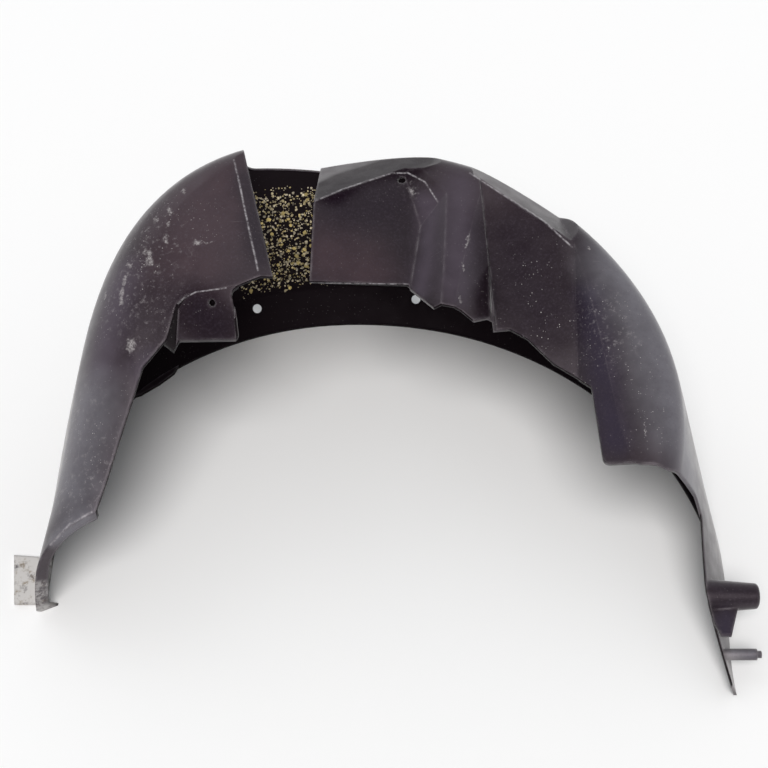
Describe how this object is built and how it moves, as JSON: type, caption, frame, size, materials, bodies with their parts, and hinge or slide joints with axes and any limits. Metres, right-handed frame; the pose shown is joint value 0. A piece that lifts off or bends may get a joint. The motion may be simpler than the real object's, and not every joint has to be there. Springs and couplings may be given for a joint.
{
  "type": "wheel arch liner",
  "caption": "Moulded plastic liner for a car's wheel arch: an open curved shell with a thin lip, sunk flat panels, a notch, a side boss, a locating pin and a fixing tab.",
  "frame": {"origin": "bottom centre of the part's box, in the plane of the lip's underside", "axes": "+Z along the wheel's axle towards the car's middle, +Y towards the crown of the arch, +X along the car; the part lies on its lip"},
  "size_m": [0.666, 0.4679, 0.2538],
  "materials": {
    "black_plastic": "worn moulded plastic with dust and scuffs"
  },
  "bodies": {
    "root": {"arch_liner": "black_plastic"}
  },
  "joints": []
}
